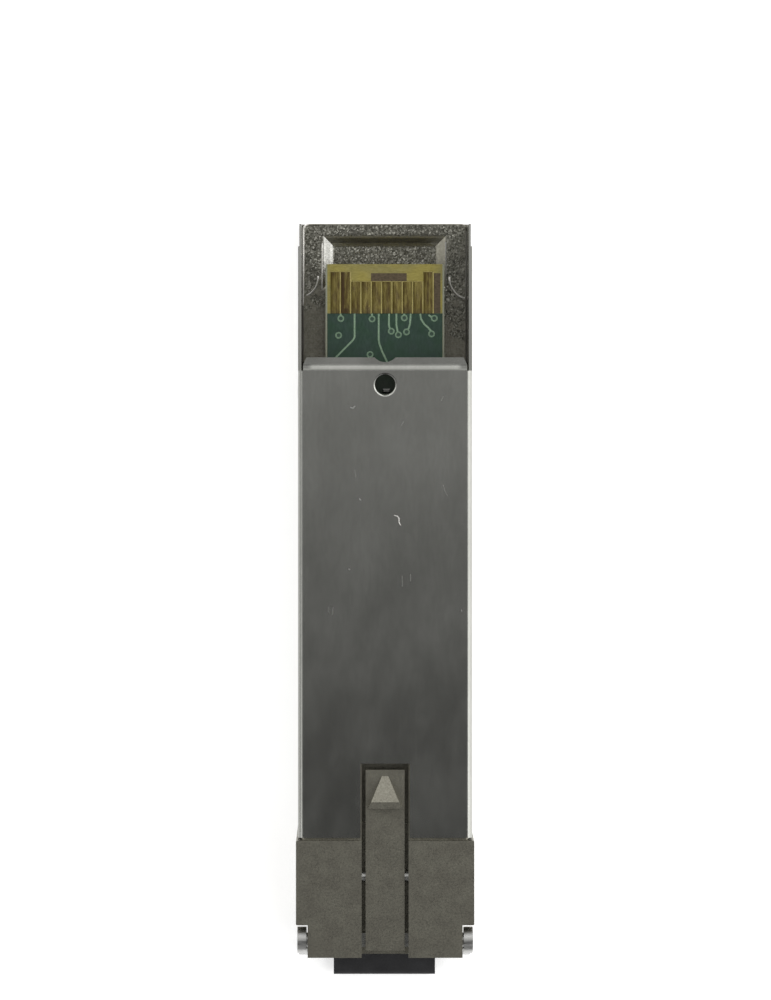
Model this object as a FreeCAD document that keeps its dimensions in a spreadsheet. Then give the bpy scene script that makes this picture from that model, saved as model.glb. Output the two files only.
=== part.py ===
import FreeCAD, Part
import os
import re

import Sketcher

# Pluggable optical transceiver, lying on its roof with the belly up.
# X runs across, +Y to the rear end, +Z from roof to belly; millimetres.
# The origin is on the roof, midway across, under the shoulder of the latch boss.

V = FreeCAD.Vector
START_RING = 10             # corners start on this ring before their distances bind
ALONG_X = FreeCAD.Rotation(V(0, 1, 0), 90)
ALONG_Y = FreeCAD.Rotation(V(1, 0, 0), -90)

SIZES = {
    # Whole module
    "body_width": 13.4,
    "body_height": 8.5,
    "rear_reach": 45.0,        # latch shoulder to rear end
    "stop_reach": 2.5,         # latch shoulder to the step that meets the cage
    "nose_reach": 9.0,         # part of the nose outside the cage
    "nose_step": 0.15,         # nose proud of the body on each side
    "nose_rise": 0.1,          # nose proud of the belly
    # Folded shell
    "sheet": 0.25,
    "sheet_gap": 0.05,         # between shell walls and housing
    "flange_foot": 1.3,        # height of the lower edge of the shell walls
    "bend_radius": 0.45,
    "mouth_back": 10.4,        # rear end to the free edge of the lip
    "lip_run": 0.72,
    "lip_drop": 0.5,
    "lip_round": 0.9,
    "lip_slant": 0.25,
    "relief_run": 0.3,
    "relief_width": 0.4,
    "notch_radius": 1.08,
    "notch_depth": 0.36,
    "hole_back": 12.5,         # rear end to the hole in the belly
    "hole_radius": 0.74,
    "hole_bevel": 0.18,
    "bump_back": 13.1,
    "bump_radius": 0.75,
    "bump_proud": 0.08,
    "lead_run": 1.85,          # narrowed rear end of the shell walls
    "lead_step": 0.1,
    "shell_front_gap": 0.2,
    "shell_back_gap": 0.12,    # shell walls short of the rear end
    "window_side_gap": 0.4,
    # Die-cast housing
    "roof": 1.0,
    "wall": 0.7,
    "frame_drop": 2.0,         # board to the rear frame
    "pocket_side": 1.6,        # frame beside the pocket
    "pocket_rim": 0.95,        # frame behind the pocket
    "pocket_run": 4.1,
    "pocket_depth": 0.42,
    "pocket_slope": 0.7,       # run of the sloping pocket walls
    "pocket_fillet": 0.7,
    "rim_round": 0.7,
    "frame_corner": 0.4,
    "frame_bevel": 0.07,
    "rail_inset": 0.7,
    "wall_back_gap": 0.4,      # lip bend to the end of the side walls
    "mark_radius": 1.5,
    "mark_depth": 0.06,
    "mark_out": 0.3,           # frame side to the middle of a mark
    "mark_left_back": 3.9,
    "mark_right_back": 4.3,
    "back_wall": 2.8,
    "deck": 0.35,
    "cross_wall": 0.8,
    "edge_round": 0.3,
    "nose_round": 0.1,         # less than the step between nose and body
    # Fibre ports
    "port_web": 1.6,           # wall between the ports
    "port_wall": 0.5,          # wall beside a port, behind the bail arm
    "port_height": 4.65,
    "axis_drop": 4.3,          # belly plane to the fibre axes
    "port_depth": 9.5,
    "clip_width": 2.8,
    "clip_run": 5.5,
    "arm_recess": 0.9,
    "arm_recess_run": 2.5,
    # Circuit board
    "board_belly_gap": 2.25,   # belly plane to the near face of the board
    "board": 1.0,
    "board_end_back": 3.2,     # rear end to the card edge
    "card_width": 9.2,
    "card_corner": 0.12,
    "board_side_gap": 0.1,
    "board_front_gap": 4.4,    # optics to the front edge of the board
    "card_run": 8.6,           # narrow part of the board
    "peg_radius": 0.5,
    "peg_gap": 0.06,
    "peg_ahead": 8.0,
    "peg_inset": 0.4,
    "peg_proud": 0.2,
    # Contact fingers
    "finger_pitch": 0.8,
    "finger_width": 0.68,
    "finger_shift": 0.26,
    "finger_thick": 0.04,
    "finger_end": 3.82,        # card edge to the inner end of the fingers
    "finger_long_inset": 0.63,
    "finger_short_inset": 1.38,
    # Board components
    "driver_size": 4.0,
    "amplifier_size": 3.0,
    "memory_size": 2.5,
    "chip_thick": 0.8,
    "part_long": 1.0,
    "part_wide": 0.5,
    "part_high": 0.45,
    "part_pitch": 1.6,
    "part_edge_gap": 1.35,
    "chip_edge_gap": 0.45,
    "chip_bevel": 0.1,
    "chip_ahead": 11.2,        # board front to the middle of the part
    "memory_ahead": 16.0,
    "capacitor_ahead": 4.2,
    "resistor_ahead": 18.6,
    # Optical subassemblies
    "barrel_radius": 1.4,
    "barrel_bore": 1.0,
    "beam_radius": 0.4,
    "barrel_tip": 4.0,         # barrel in front of the back wall
    "bore_gap": 0.05,
    "barrel_flange": 1.9,
    "flange_thick": 1.2,
    "neck_radius": 1.2,
    "neck_run": 1.6,
    "sleeve_bore": 0.63,
    "sleeve_length": 5.4,
    "sleeve_slit": 0.25,
    "cap_radius": 1.8,
    "cap_run": 2.4,
    "header_side_gap": 0.275,
    "header_thick": 1.0,
    "lead_radius": 0.2,
    "lead_circle": 1.0,
    "lead_gap": 0.05,
    "pin_length": 1.2,
    "flex_thick": 0.15,
    "flex_width": 3.4,
    "flex_bend": 0.6,
    "flex_overlap": 2.4,
    "flex_back": 0.5,          # header to flex
    "clamp_thick": 0.6,
    "clamp_gap": 0.3,
    "clamp_side_gap": 0.1,
    "clamp_over": 1.8,
    # Latch and bail
    "shaft_inset": 1.2,        # nose front to bail shaft
    "shaft_drop": 1.0,
    "shaft_radius": 0.55,
    "shaft_gap": 0.05,
    "cam_flat": 0.15,
    "cam_play": 0.1,
    "pin_ahead": 5.4,          # latch shoulder to rocker pin
    "pin_drop": 0.9,
    "pin_radius": 0.4,
    "pin_gap": 0.05,
    "pin_seat": 1.2,
    "rocker_width": 3.0,
    "rocker_side_gap": 0.3,
    "rocker_thick": 0.5,
    "rocker_hub": 0.6,
    "rocker_tail": 2.9,
    "boss_height": 0.45,
    "boss_width": 2.6,
    "boss_length": 2.4,
    "boss_flat": 0.5,
    "tongue_front": 0.7,
    "recess_depth": 1.6,
    "well_depth": 1.9,
    "well_front": 1.4,
    "well_back": 3.4,
    "spring_thick": 0.15,
    "spring_width": 2.0,
    "spring_end_gap": 0.1,
    "bail_thick": 0.7,
    "bail_side_gap": 0.1,
    "eye_radius": 1.0,
    "arm_width": 1.2,
    "bar_gap": 0.85,           # nose front to the bar of the bail
    "bar_rise": 0.6,
    "bar_radius": 0.4,
    "grip_width": 8.0,
    "grip_run": 1.9,
    "grip_thick": 1.0,
    "grip_round": 0.3,
}

NAME = re.compile(r"[a-z]\w*")

doc = FreeCAD.newDocument("transceiver")
sheet = doc.addObject("Spreadsheet::Sheet", "Sizes")
for row, (size_name, size_value) in enumerate(SIZES.items(), start=1):
    sheet.set(f"A{row}", size_name)
    sheet.set(f"B{row}", str(size_value))
    sheet.setAlias(f"B{row}", size_name)
doc.recompute()

# Heights and positions that several pieces share
SIDE = "(body_width / 2 - sheet - sheet_gap)"
INNER = f"({SIDE} - wall)"
WALL_TOP = "(body_height - sheet)"
LEDGE = "(flange_foot - sheet_gap)"
NOSE_HALF = "(body_width / 2 + nose_step)"
NOSE_TOP = "(body_height + nose_rise)"
NOSE_FRONT = "(-stop_reach - nose_reach)"
SHELL_FRONT = "(-stop_reach + shell_front_gap)"
SHELL_BACK = "(rear_reach - shell_back_gap)"
MOUTH = "(rear_reach - mouth_back)"
LIP_BEND = f"({MOUTH} - lip_run)"
BOARD_TOP = "(body_height - board_belly_gap)"
BOARD_UNDER = f"({BOARD_TOP} - board)"
BOARD_HALF = f"({INNER} - board_side_gap)"
CARD_EDGE = "(rear_reach - board_end_back)"
FRAME_TOP = f"({BOARD_UNDER} - frame_drop)"
POCKET_FLOOR = f"({FRAME_TOP} - pocket_depth)"
POCKET_HALF = f"({SIDE} - pocket_side)"
POCKET_BACK = "(rear_reach - pocket_rim)"
POCKET_FRONT = f"({POCKET_BACK} - pocket_run)"
PORT_SIZE = f"({NOSE_HALF} - arm_recess - port_wall - port_web / 2)"
PORT_X = f"(({PORT_SIZE} + port_web) / 2)"
PORT_AXIS = "(body_height - axis_drop)"
PORT_BACK = f"({NOSE_FRONT} + port_depth)"
SEAT = f"({PORT_BACK} + back_wall)"
NECK = f"({SEAT} + flange_thick)"
CAN_FRONT = f"({NECK} + neck_run)"
HEADER = f"({CAN_FRONT} + cap_run)"
HEADER_BACK = f"({HEADER} + header_thick)"
HEADER_RADIUS = f"({INNER} - {PORT_X} - header_side_gap)"
BOARD_FRONT = f"({HEADER_BACK} + board_front_gap)"
RECESS_FLOOR = "(body_height - recess_depth)"
WELL_FLOOR = "(body_height - well_depth)"
SHAFT_Y = f"({NOSE_FRONT} + shaft_inset)"
SHAFT_Z = "(body_height - shaft_drop)"
BAR_Y = f"({NOSE_FRONT} - bar_gap)"
PIN_Z = "(body_height - pin_drop)"
ROCKER_UNDER = f"({SHAFT_Z} + cam_flat + cam_play)"
ROCKER_TOP = f"({ROCKER_UNDER} + rocker_thick)"


def expression(text):
    """Text with each size name pointed at its cell in the sheet."""
    return NAME.sub(lambda found: "Sizes." + found.group(0) if found.group(0) in SIZES
                    else found.group(0), str(text))


def bind(obj, prop, text):
    obj.setExpression(prop, expression(text))


# Sketches and solid features

def new_body(name):
    body = doc.addObject("PartDesign::Body", name)
    body.Label = name
    return body


def sketch(body, name, role, lift="0", rise="0"):
    """Empty sketch on one of the body's own planes, lifted off it and shifted up in it."""
    plane = [item for item in body.Origin.OriginFeatures if item.Role == role][0]
    made = body.newObject("Sketcher::SketchObject", name)
    made.AttachmentSupport = [(plane, "")]
    made.MapMode = "FlatFace"
    bind(made, "AttachmentOffset.Base.z", lift)
    bind(made, "AttachmentOffset.Base.y", rise)
    return made


def pin_point(made, curve, end, x, y):
    """Hold one point of a sketch at two bound distances from its origin."""
    for kind, text in (("DistanceX", x), ("DistanceY", y)):
        index = made.addConstraint(Sketcher.Constraint(kind, -1, 1, curve, end, 1.0))
        bind(made, f"Constraints[{index}]", text)


def outline(body, name, role, points, lift="0", rise="0"):
    """Closed polygon whose corners are bound to the sheet."""
    made = sketch(body, name, role, lift, rise)
    count = len(points)
    turn = FreeCAD.Rotation(V(0, 0, 1), 360 / count)
    start = V(START_RING, 0, 0)
    for index in range(count):
        end = turn.multVec(start)
        made.addGeometry(Part.LineSegment(start, end))
        start = end
    for index in range(count):
        made.addConstraint(Sketcher.Constraint("Coincident", index, 2, (index + 1) % count, 1))
    for index, (x, y) in enumerate(points):
        pin_point(made, index, 1, x, y)
    return made


def pad(body, profile, length, middle=False):
    made = body.newObject("PartDesign::Pad", profile.Name + "_pad")
    made.Profile = profile
    made.Midplane = middle
    bind(made, "Length", length)
    return made


def pocket(body, profile, length, middle=False):
    made = body.newObject("PartDesign::Pocket", profile.Name + "_pocket")
    made.Profile = profile
    made.Midplane = middle
    bind(made, "Length", length)
    return made


def turned(body, profile):
    """Full turn of a profile about the level axis of its sketch."""
    made = body.newObject("PartDesign::Revolution", profile.Name + "_turn")
    made.Profile = profile
    made.ReferenceAxis = (profile, ["H_Axis"])
    made.Angle = 360
    return made


def block(body, kind, name, x, y, z):
    """Box added to or cut from a body between bound limits."""
    made = body.newObject(f"PartDesign::{kind}Box", name)
    for prop, axis, (low, high) in (("Length", "x", x), ("Width", "y", y), ("Height", "z", z)):
        bind(made, prop, f"({high}) - ({low})")
        bind(made, f"Placement.Base.{axis}", low)
    return made


def rod(body, kind, name, turn, start, radius, length):
    """Cylinder added to or cut from a body."""
    made = body.newObject(f"PartDesign::{kind}Cylinder", name)
    made.Placement = FreeCAD.Placement(V(), turn)
    for axis, text in zip("xyz", start):
        bind(made, f"Placement.Base.{axis}", text)
    bind(made, "Radius", radius)
    bind(made, "Height", length)
    return made


def size(text):
    """Present value of a bound length, for picking edges."""
    probe = doc.addObject("App::FeaturePython", "probe")
    probe.addProperty("App::PropertyFloat", "value")
    bind(probe, "value", text)
    probe.recompute()
    value = probe.value
    doc.removeObject(probe.Name)
    return value


def near(a, b):
    return abs(a - b) < 1e-4


def dress(body, kind, name, amount, wanted):
    """Round or bevel the edges of the body that satisfy the test."""
    doc.recompute()
    base = body.Tip
    edges = [f"Edge{i}" for i, edge in enumerate(base.Shape.Edges, start=1) if wanted(edge.BoundBox)]
    made = body.newObject(f"PartDesign::{kind}", name)
    made.Base = (base, edges)
    bind(made, "Radius" if kind == "Fillet" else "Size", amount)
    doc.recompute()
    return made


def cuboid(name, x, y, z):
    """Free-standing box between bound limits."""
    made = doc.addObject("Part::Box", name)
    for prop, axis, (low, high) in (("Length", "x", x), ("Width", "y", y), ("Height", "z", z)):
        bind(made, prop, f"({high}) - ({low})")
        bind(made, f"Placement.Base.{axis}", low)
    return made


def round_bar(name, turn, start, radius, length):
    """Free-standing cylinder."""
    made = doc.addObject("Part::Cylinder", name)
    made.Placement = FreeCAD.Placement(V(), turn)
    for axis, text in zip("xyz", start):
        bind(made, f"Placement.Base.{axis}", text)
    bind(made, "Radius", radius)
    bind(made, "Height", length)
    return made


def group(name, members):
    made = doc.addObject("Part::Compound", name)
    made.Label = name
    made.Links = members
    return made


def both(half):
    """Limits that lie evenly about the middle."""
    return (f"-({half})", f"({half})")


# Die-cast housing

def make_housing():
    body = new_body("housing")
    half = "body_width / 2"
    walls_end = f"{LIP_BEND} - wall_back_gap"
    bay_start = "well_back + cross_wall"
    deck_under = f"{WELL_FLOOR} - deck"
    trough = outline(body, "trough", "XZ_Plane", [
        (f"-{half}", "0"), (half, "0"), (half, LEDGE), (SIDE, LEDGE), (SIDE, WALL_TOP),
        (f"-{SIDE}", WALL_TOP), (f"-{SIDE}", LEDGE), (f"-{half}", LEDGE)], "-rear_reach")
    pad(body, trough, "rear_reach + stop_reach + wall")
    block(body, "Additive", "nose", both(NOSE_HALF), (NOSE_FRONT, "-stop_reach"),
          ("0", NOSE_TOP))

    # Rear frame with its pocket
    block(body, "Subtractive", "rear_clearing", both("body_width / 2"), (walls_end, "rear_reach"),
          (FRAME_TOP, "body_height"))
    basin = outline(body, "basin", "XY_Plane", [
        (f"-{POCKET_HALF}", POCKET_FRONT), (POCKET_HALF, POCKET_FRONT),
        (POCKET_HALF, POCKET_BACK), (f"-{POCKET_HALF}", POCKET_BACK)], FRAME_TOP)
    bind(pocket(body, basin, "pocket_depth"), "TaperAngle", "-atan(pocket_slope / pocket_depth)")
    pocket_x, pocket_y, pocket_low = size(POCKET_HALF), size(POCKET_BACK), size(POCKET_FLOOR)
    frame_x, frame_y, frame_z = size(SIDE), size("rear_reach"), size(FRAME_TOP)
    dress(body, "Fillet", "pocket_base", "pocket_fillet",
          lambda box: near(box.ZMin, pocket_low) and near(box.ZLength, 0) and box.YMax < pocket_y)
    dress(body, "Fillet", "pocket_rim", "rim_round",
          lambda box: near(box.ZMin, frame_z) and near(box.ZLength, 0) and box.YMax < frame_y
          and max(-box.XMin, box.XMax) < (pocket_x + frame_x) / 2)
    dress(body, "Fillet", "frame_corners", "frame_corner",
          lambda box: near(abs(box.XMin), frame_x) and near(box.XLength, 0) and near(box.YMin, frame_y)
          and near(box.YLength, 0))
    dress(body, "Chamfer", "frame_edges", "frame_bevel",
          lambda box: near(box.ZMin, frame_z) and near(box.ZLength, 0) and box.YMax > pocket_y
          and max(-box.XMin, box.XMax) > (pocket_x + frame_x) / 2)
    for hand, back in (("-", "mark_left_back"), ("", "mark_right_back")):
        rod(body, "Subtractive", "ejector_mark", FreeCAD.Rotation(),
            (f"{hand}({SIDE} + mark_out)", f"rear_reach - {back}", f"{FRAME_TOP} - mark_depth"),
            "mark_radius", "body_height")

    # Bay for board and optics
    block(body, "Subtractive", "bay", both(INNER), (bay_start, walls_end), (BOARD_UNDER, "body_height"))
    block(body, "Subtractive", "optics_bay", both(INNER), (SEAT, BOARD_FRONT), ("roof", deck_under))
    block(body, "Subtractive", "keel", both(f"{INNER} - rail_inset"), (BOARD_FRONT, walls_end),
          ("roof", BOARD_UNDER))
    for hand in ("-", ""):
        rod(body, "Additive", "peg", FreeCAD.Rotation(),
            (f"{hand}({INNER} - peg_inset)", f"{BOARD_FRONT} + peg_ahead", f"{BOARD_UNDER} - board"),
            "peg_radius", "2 * board + peg_proud")

    # Fibre ports
    for hand in ("-", ""):
        axis = f"({hand}{PORT_X})"
        block(body, "Subtractive", "port", (f"{axis} - {PORT_SIZE} / 2", f"{axis} + {PORT_SIZE} / 2"),
              (NOSE_FRONT, PORT_BACK), (f"{PORT_AXIS} - port_height / 2", f"{PORT_AXIS} + port_height / 2"))
        block(body, "Subtractive", "clip_slot", (f"{axis} - clip_width / 2", f"{axis} + clip_width / 2"),
              (NOSE_FRONT, f"{NOSE_FRONT} + clip_run"),
              ("roof", PORT_AXIS))
        rod(body, "Subtractive", "barrel_bore", ALONG_Y, (axis, PORT_BACK, PORT_AXIS),
            "barrel_radius + bore_gap", "back_wall")

    # Latch recess, shaft and pin holes, clearance for the bail arms
    recess = both("rocker_width / 2 + rocker_side_gap")
    block(body, "Subtractive", "latch_recess", recess, (NOSE_FRONT, "well_back"),
          (RECESS_FLOOR, NOSE_TOP))
    block(body, "Subtractive", "spring_well", recess, ("-well_front", "well_back"),
          (WELL_FLOOR, RECESS_FLOOR))
    rod(body, "Subtractive", "shaft_hole", ALONG_X, (f"-{NOSE_HALF}", SHAFT_Y, SHAFT_Z),
        "shaft_radius + shaft_gap", f"2 * {NOSE_HALF}")
    rod(body, "Subtractive", "pin_hole", ALONG_X,
        ("-rocker_width / 2 - rocker_side_gap - pin_seat", "-pin_ahead", PIN_Z),
        "pin_radius", "rocker_width + 2 * (rocker_side_gap + pin_seat)")
    for low, high in ((f"-{NOSE_HALF}", f"arm_recess - {NOSE_HALF}"),
                      (f"{NOSE_HALF} - arm_recess", NOSE_HALF)):
        block(body, "Subtractive", "arm_clearance", (low, high),
              (NOSE_FRONT, f"{NOSE_FRONT} + arm_recess_run"), ("0", NOSE_TOP))

    # Bevels under the bends of the shell, rounded roof edges and rounded nose
    side_x, top_z = size(SIDE), size(WALL_TOP)
    dress(body, "Chamfer", "wall_tops", "bend_radius - sheet",
          lambda box: near(abs(box.XMin), side_x) and near(box.XLength, 0) and near(box.ZMin, top_z))
    wide = size("body_width / 2")
    step = size("stop_reach")
    broad = size(NOSE_HALF)
    dress(body, "Fillet", "roof_edges", "edge_round",
          lambda box: near(box.ZMax, 0) and near(abs(box.XMin), wide) and near(box.XLength, 0)
          and box.YLength > step)
    dress(body, "Fillet", "nose_edges", "nose_round",
          lambda box: near(box.XLength, 0) and near(abs(box.XMin), broad) and near(box.YLength, 0))
    return body


# Folded sheet shell

def make_shell():
    body = new_body("shell")
    half = "body_width / 2"
    inside = "(body_width / 2 - sheet)"
    shoulder = "body_height - bend_radius"
    profile = outline(body, "fold", "XZ_Plane", [
        (f"-{half}", "flange_foot"), (f"-{half}", "body_height"), (half, "body_height"),
        (half, "flange_foot"), (inside, "flange_foot"), (inside, WALL_TOP),
        (f"-{inside}", WALL_TOP), (f"-{inside}", "flange_foot")], f"-{SHELL_BACK}")
    pad(body, profile, f"{SHELL_BACK} - {SHELL_FRONT}")
    outer_x, outer_z = size(half), size("body_height")
    inner_x, inner_z = size(inside), size(WALL_TOP)
    dress(body, "Fillet", "outer_bends", "bend_radius",
          lambda box: near(abs(box.XMin), outer_x) and near(box.ZMin, outer_z) and near(box.XLength, 0))
    dress(body, "Fillet", "inner_bends", "bend_radius - sheet",
          lambda box: near(abs(box.XMin), inner_x) and near(box.ZMin, inner_z) and near(box.XLength, 0))

    # Open rear part with bend relief, then the lip that leads the host connector in
    block(body, "Subtractive", "rear_opening", both(f"{half}"), (LIP_BEND, "rear_reach"),
          (shoulder, "body_height"))
    for low, high in ((f"-{half}", "relief_width - body_width / 2"),
                      ("body_width / 2 - relief_width", half)):
        block(body, "Subtractive", "bend_relief", (low, high), (f"{LIP_BEND} - relief_run", LIP_BEND),
              (shoulder, "body_height"))
    slope = "sheet * sqrt(lip_run ^ 2 + lip_drop ^ 2) / lip_run"
    lip = outline(body, "lip", "YZ_Plane", [
        (LIP_BEND, "body_height"), (MOUTH, "body_height - lip_drop"),
        (MOUTH, f"body_height - lip_drop - {slope}"), (LIP_BEND, f"body_height - {slope}"),
        (f"{LIP_BEND} - sheet", WALL_TOP), (f"{LIP_BEND} - sheet", "body_height")])
    pad(body, lip, "body_width - 2 * relief_width", True)
    bend_y = size(LIP_BEND)
    dress(body, "Fillet", "lip_bend", "lip_round",
          lambda box: near(box.YMin, bend_y) and near(box.ZMin, outer_z) and near(box.YLength, 0)
          and box.XLength > inner_x)
    for hand in ("-", ""):
        corner = outline(body, "lip_corner", "XY_Plane", [
            (f"{hand}({half} - relief_width)", f"{LIP_BEND} + lip_run / 4"),
            (f"{hand}({half} - relief_width)", MOUTH),
            (f"{hand}({half} - relief_width - lip_slant)", MOUTH)], "body_height")
        pocket(body, corner, "board_belly_gap")
    rod(body, "Subtractive", "lip_notch", FreeCAD.Rotation(),
        ("0", f"{MOUTH} + notch_radius - notch_depth", "body_height - board_belly_gap"),
        "notch_radius", "board_belly_gap")

    # Hole in the belly with its bevelled edge
    rod(body, "Subtractive", "belly_hole", FreeCAD.Rotation(),
        ("0", "rear_reach - hole_back", "body_height - board_belly_gap"), "hole_radius",
        "board_belly_gap")
    hole_y, hole_r = size("rear_reach - hole_back"), size("hole_radius")
    dress(body, "Chamfer", "hole_edge", "hole_bevel",
          lambda box: near(box.YMax, hole_y + hole_r) and near(box.ZMin, outer_z))

    # Opening for the latch, snap bumps, narrowed rear ends of the walls
    block(body, "Subtractive", "latch_window", both("rocker_width / 2 + window_side_gap"),
          (SHELL_FRONT, "well_back"), (WALL_TOP, "body_height"))
    for turn, start in ((FreeCAD.Rotation(V(0, 1, 0), -90), f"-{half}"), (ALONG_X, half)):
        bump = body.newObject("PartDesign::AdditiveCone", "snap_bump")
        bump.Placement = FreeCAD.Placement(V(), turn)
        for axis, text in zip("xyz", (start, "rear_reach - bump_back", "(flange_foot + body_height) / 2")):
            bind(bump, f"Placement.Base.{axis}", text)
        bind(bump, "Radius1", "bump_radius")
        bind(bump, "Radius2", "bump_radius / 2")
        bind(bump, "Height", "bump_proud")
    for low, high in ((f"-{half}", f"lead_step - {half}"), (f"{half} - lead_step", half)):
        block(body, "Subtractive", "lead_in", (low, high), ("rear_reach - lead_run", "rear_reach"),
              ("flange_foot", "body_height"))
    return body


# Circuit board, contact fingers and components

def make_board():
    body = new_body("circuit_board")
    neck = f"{CARD_EDGE} - card_run"
    plan = outline(body, "plan", "XY_Plane", [
        (f"-{BOARD_HALF}", BOARD_FRONT), (BOARD_HALF, BOARD_FRONT),
        (BOARD_HALF, neck), ("card_width / 2", neck),
        ("card_width / 2", CARD_EDGE), ("-card_width / 2", CARD_EDGE),
        ("-card_width / 2", neck), (f"-{BOARD_HALF}", neck)], BOARD_UNDER)
    pad(body, plan, "board")
    edge_y = size(CARD_EDGE)
    dress(body, "Fillet", "card_corners", "card_corner",
          lambda box: near(box.YMin, edge_y) and near(box.XLength, 0) and near(box.YLength, 0))
    for hand in ("-", ""):
        rod(body, "Subtractive", "peg_notch", FreeCAD.Rotation(),
            (f"{hand}({INNER} - peg_inset)", f"{BOARD_FRONT} + peg_ahead", BOARD_UNDER),
            "peg_radius + peg_gap", "board")
    return body


def make_fingers(name, shift, height, long_ones):
    """Row of ten gold fingers; the long ones meet the host first."""
    fingers = []
    for index in range(FINGER_COUNT):
        middle = f"({shift} + {index - (FINGER_COUNT - 1) / 2} * finger_pitch)"
        inset = "finger_long_inset" if index in long_ones else "finger_short_inset"
        fingers.append(cuboid(f"{name}_{index + 1}",
                              (f"{middle} - finger_width / 2", f"{middle} + finger_width / 2"),
                              (f"{CARD_EDGE} - finger_end", f"{CARD_EDGE} - {inset}"), height))
    return group(name, fingers)


def make_chip(name, wide, x, ahead):
    """Square flat package with a bevelled lid, on the belly face of the board."""
    body = new_body(name)
    block(body, "Additive", name + "_case", (f"{x} - {wide} / 2", f"{x} + {wide} / 2"),
          (f"{BOARD_FRONT} + {ahead} - {wide} / 2", f"{BOARD_FRONT} + {ahead} + {wide} / 2"),
          (BOARD_TOP, f"{BOARD_TOP} + chip_thick"))
    lid = size(f"{BOARD_TOP} + chip_thick")
    dress(body, "Chamfer", name + "_lid", "chip_bevel",
          lambda box: near(box.ZMin, lid) and near(box.ZLength, 0))
    return body


def make_passives(name, x_first, ahead, columns, rows):
    """Grid of small two-ended parts on the belly face of the board."""
    parts = []
    for column in range(columns):
        for row in range(rows):
            x = f"({x_first} + {column} * part_pitch)"
            y = f"({BOARD_FRONT} + {ahead} + {row} * part_pitch)"
            parts.append(cuboid(f"{name}_{column}_{row}", (x, f"{x} + part_wide"),
                                (y, f"{y} + part_long"), (BOARD_TOP, f"{BOARD_TOP} + part_high")))
    return group(name, parts)


# Optical subassemblies

def make_barrel(name, hand):
    body = new_body(name)
    tip = f"{PORT_BACK} - barrel_tip"
    sleeve_end = f"{PORT_BACK} - barrel_tip + sleeve_length"
    profile = outline(body, name + "_profile", "YZ_Plane", [
        (tip, "barrel_bore"), (tip, "barrel_radius"), (SEAT, "barrel_radius"),
        (SEAT, "barrel_flange"), (NECK, "barrel_flange"), (NECK, "neck_radius"),
        (CAN_FRONT, "neck_radius"), (CAN_FRONT, "beam_radius"),
        (sleeve_end, "beam_radius"), (sleeve_end, "barrel_bore")],
        f"{hand}{PORT_X}", PORT_AXIS)
    turned(body, profile)
    return body


def make_sleeve(name, hand):
    """Split ceramic sleeve that grips the plug's ferrule."""
    body = new_body(name)
    tip = f"{PORT_BACK} - barrel_tip"
    profile = outline(body, name + "_profile", "YZ_Plane", [
        (tip, "sleeve_bore"), (tip, "barrel_bore"),
        (f"{tip} + sleeve_length", "barrel_bore"), (f"{tip} + sleeve_length", "sleeve_bore")],
        f"{hand}{PORT_X}", PORT_AXIS)
    turned(body, profile)
    axis = f"({hand}{PORT_X})"
    block(body, "Subtractive", name + "_slit", (f"{axis} - sleeve_slit / 2", f"{axis} + sleeve_slit / 2"),
          (tip, f"{tip} + sleeve_length"), (PORT_AXIS, f"{PORT_AXIS} + barrel_radius"))
    return body


def make_can(name, hand):
    body = new_body(name)
    profile = outline(body, name + "_profile", "YZ_Plane", [
        (CAN_FRONT, "0"), (CAN_FRONT, "cap_radius"), (HEADER, "cap_radius"),
        (HEADER, HEADER_RADIUS), (HEADER_BACK, HEADER_RADIUS), (HEADER_BACK, "0")],
        f"{hand}{PORT_X}", PORT_AXIS)
    turned(body, profile)
    return body


def lead_places(hand):
    """Centres of the three leads, as pairs across and up."""
    axis = f"({hand}{PORT_X})"
    return [(f"{axis} + {dx} * lead_circle", f"{PORT_AXIS} + {dz} * lead_circle")
            for dx, dz in ((1, 0), (-1, 0), (0, -1))]


def make_leads(name, hand):
    leads = [round_bar(f"{name}_{number}", ALONG_Y, (x, HEADER_BACK, z), "lead_radius", "pin_length")
             for number, (x, z) in enumerate(lead_places(hand), start=1)]
    return group(name, leads)


def make_flex(name, hand):
    """Printed tail from the leads of the can, bent over onto the board."""
    body = new_body(name)
    front = f"({HEADER_BACK} + flex_back)"
    low = f"({PORT_AXIS} - flex_width / 2)"
    profile = outline(body, name + "_profile", "YZ_Plane", [
        (front, low), (f"{front} + flex_thick", low), (f"{front} + flex_thick", BOARD_TOP),
        (f"{BOARD_FRONT} + flex_overlap", BOARD_TOP),
        (f"{BOARD_FRONT} + flex_overlap", f"{BOARD_TOP} + flex_thick"),
        (front, f"{BOARD_TOP} + flex_thick")], f"{hand}{PORT_X}")
    pad(body, profile, "flex_width", True)
    outer_y, outer_z = size(front), size(f"{BOARD_TOP} + flex_thick")
    inner_y, inner_z = size(f"{front} + flex_thick"), size(BOARD_TOP)
    dress(body, "Fillet", name + "_outer", "flex_bend",
          lambda box: near(box.YMin, outer_y) and near(box.YLength, 0) and near(box.ZMin, outer_z)
          and near(box.ZLength, 0))
    dress(body, "Fillet", name + "_inner", "flex_bend - flex_thick",
          lambda box: near(box.YMin, inner_y) and near(box.YLength, 0) and near(box.ZMin, inner_z)
          and near(box.ZLength, 0))
    for x, z in lead_places(hand):
        rod(body, "Subtractive", name + "_hole", ALONG_Y, (x, front, z), "lead_radius + lead_gap",
            "flex_thick")
    return body


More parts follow.
